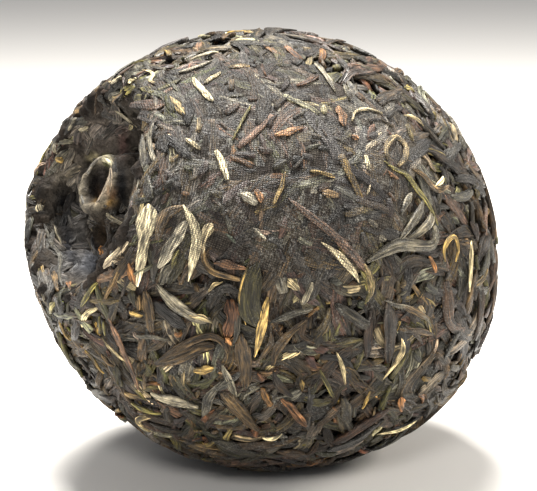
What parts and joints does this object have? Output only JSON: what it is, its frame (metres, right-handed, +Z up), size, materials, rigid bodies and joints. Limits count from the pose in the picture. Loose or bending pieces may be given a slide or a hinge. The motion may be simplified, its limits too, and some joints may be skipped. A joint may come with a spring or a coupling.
{
  "type": "pu-erh tuocha",
  "caption": "Nearly ball-shaped pressed cake of dark tea leaves lying on its side, with a round hollow that holds a ring-shaped knot mark.",
  "frame": {"origin": "the middle of the small flat spot that the cake rests on, at the height of the table", "axes": "+Z up; the hollow faces -X and leans 22 degrees up from level; +Y is to one side, and the picture looks from about -Y, turned 28.5 degrees towards the hollow and 12 degrees down"},
  "size_m": [0.093, 0.0876, 0.0863],
  "materials": {
    "pressed_leaf": "pressed dried tea leaves: charcoal, brown and slate strips with ivory buds, olive and russet stems, a dull cloth-pressed sheen"
  },
  "bodies": {
    "root": {"tuocha": "pressed_leaf"}
  },
  "joints": []
}
